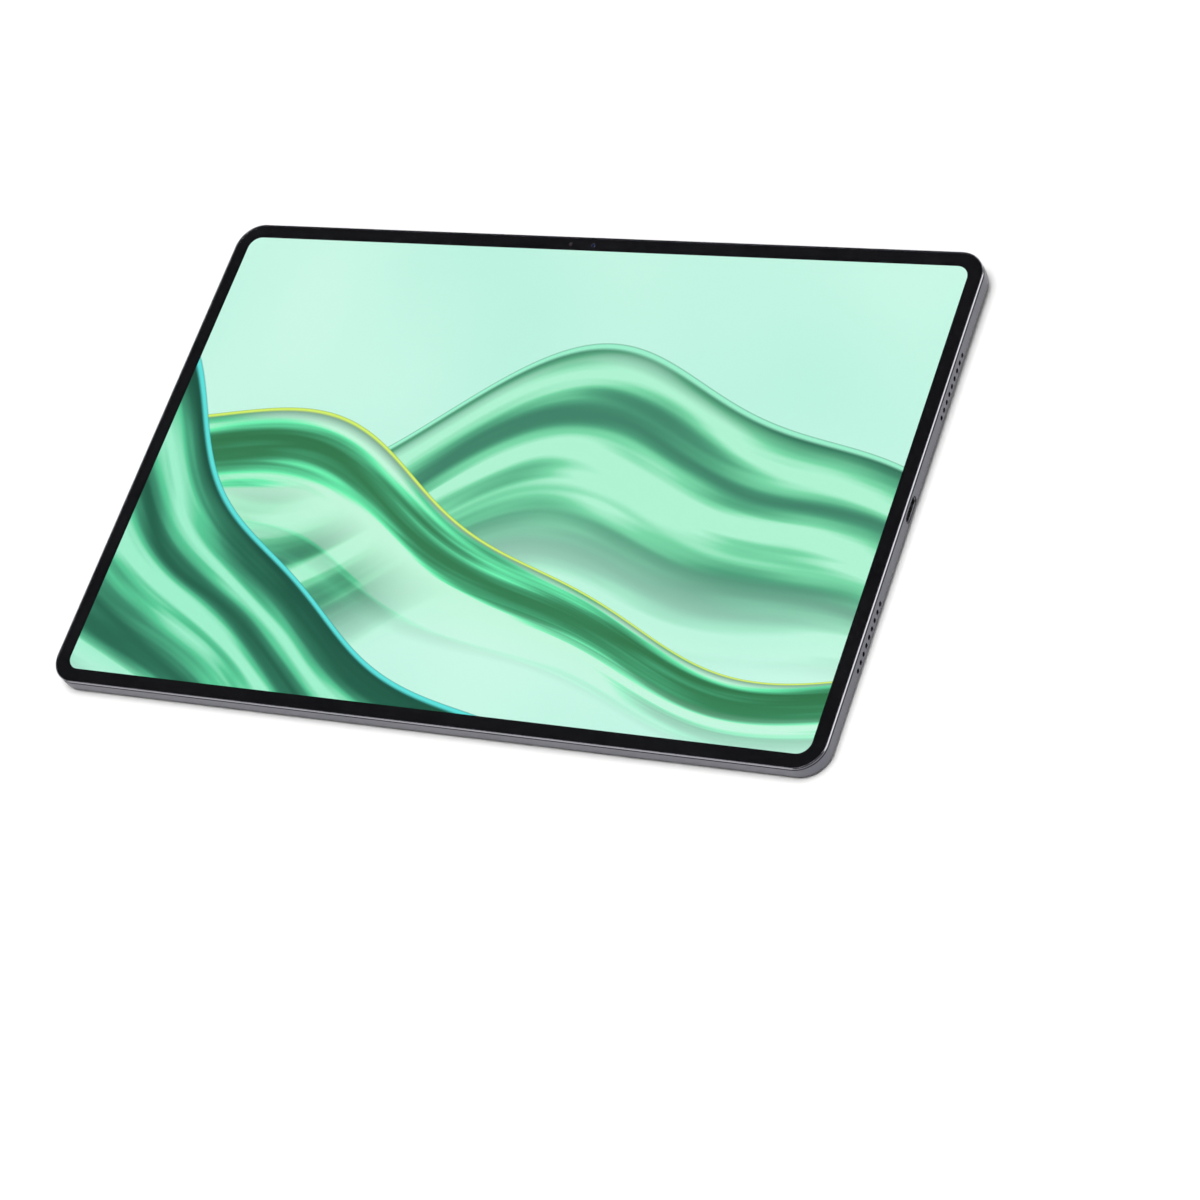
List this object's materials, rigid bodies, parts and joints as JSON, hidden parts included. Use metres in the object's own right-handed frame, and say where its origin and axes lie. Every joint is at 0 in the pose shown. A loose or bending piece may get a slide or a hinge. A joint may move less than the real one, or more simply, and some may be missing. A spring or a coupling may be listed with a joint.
{
  "type": "tablet computer",
  "caption": "Thin tablet computer: metal shell, touch screen with a narrow black border, pill-shaped rear camera island, side speaker grilles, USB port and sprung edge buttons.",
  "frame": {"origin": "centre of the flat rear face", "axes": "+X along the long side towards the USB end, +Y towards the long edge with the buttons and the rear camera, +Z out of the screen"},
  "size_m": [0.277, 0.1794, 0.0078],
  "materials": {
    "clear_glass": "polished, oil-repellent coating",
    "border_ink": "printed black ink",
    "grey_aluminium": "fine bead blast, grey anodised",
    "rim_aluminium": "satin, with a cut chamfer",
    "display_glass": "lit picture",
    "white_film": "matt",
    "light_guide_acrylic": "clear, polished",
    "tray_steel": "stamped",
    "tape": "foam tape",
    "white_tape": "stretch tape",
    "circuit_board": "green solder mask",
    "flex_film": "amber polyimide",
    "chip_resin": "moulded epoxy",
    "graphite": "rolled sheet",
    "island_metal": "dark anodised, polished lip",
    "island_glass": "black-backed, polished",
    "black_plastic": "fine moulded texture",
    "lens_glass": "coated optic",
    "battery_foil": "black laminated foil over cells",
    "connector_steel": "nickel plated",
    "small_parts_metal": "plated",
    "magnet_metal": "nickel-plated magnets",
    "antenna_plastic": "moulded, printed with metal tracks"
  },
  "bodies": {
    "tablet": {"cover_glass": "clear_glass", "glass_border": "border_ink", "frame_tape": "tape", "display_frame": "rim_aluminium", "display_cell": "display_glass", "optical_films": "white_film", "light_guide": "light_guide_acrylic", "reflector_sheet": "white_film", "backlight_tray": "tray_steel", "led_bar": "flex_film", "display_driver_board": "circuit_board", "graphite_sheet": "graphite", "rear_housing": "grey_aluminium", "camera_bezel": "island_metal", "camera_cover_glass": "island_glass", "camera_mask": "black_plastic", "main_camera_ring": "island_metal", "second_camera_ring": "island_metal", "rear_camera_lens": "lens_glass", "rear_camera_barrel": "black_plastic", "rear_camera_module": "black_plastic", "front_camera_lens": "lens_glass", "front_camera_module": "black_plastic", "light_sensor": "chip_resin", "battery_cell_left": "battery_foil", "battery_cell_right": "battery_foil", "battery_board": "circuit_board", "battery_tape": "white_tape", "main_board": "circuit_board", "processor": "chip_resin", "memory_chip": "chip_resin", "storage_chip": "chip_resin", "power_chip": "chip_resin", "radio_chip": "chip_resin", "shield_can": "small_parts_metal", "usb_circuit_board": "circuit_board", "usb_shell": "connector_steel", "usb_tongue": "black_plastic", "speaker_left_upper": "black_plastic", "speaker_left_lower": "black_plastic", "speaker_right_upper": "black_plastic", "speaker_right_lower": "black_plastic", "speaker_meshes": "black_plastic", "dome_switches": "small_parts_metal", "side_key_flex": "flex_film", "side_key_bracket": "small_parts_metal", "microphones": "small_parts_metal", "antennas": "antenna_plastic", "antenna_cables": "black_plastic", "cover_magnets": "magnet_metal", "display_flex": "flex_film", "battery_flex": "flex_film", "usb_flex": "flex_film", "board_screws": "small_parts_metal"},
    "power_key": {"power_button": "grey_aluminium"},
    "volume_key": {"volume_rocker": "grey_aluminium"}
  },
  "joints": [
    {"name": "power_button_press", "type": "slide", "parent": "tablet", "child": "power_key", "axis": [0, -1, 0], "range_m": [0, 0.00025], "stiffness_N_per_m": 3000},
    {"name": "volume_rocker_tilt", "type": "hinge", "parent": "tablet", "child": "volume_key", "pos_m": [-0.079, 0.08685, 0.0027], "axis": [0, 0, 1], "range_deg": [-1.3, 1.3], "stiffness_Nm_per_rad": 0.2}
  ]
}
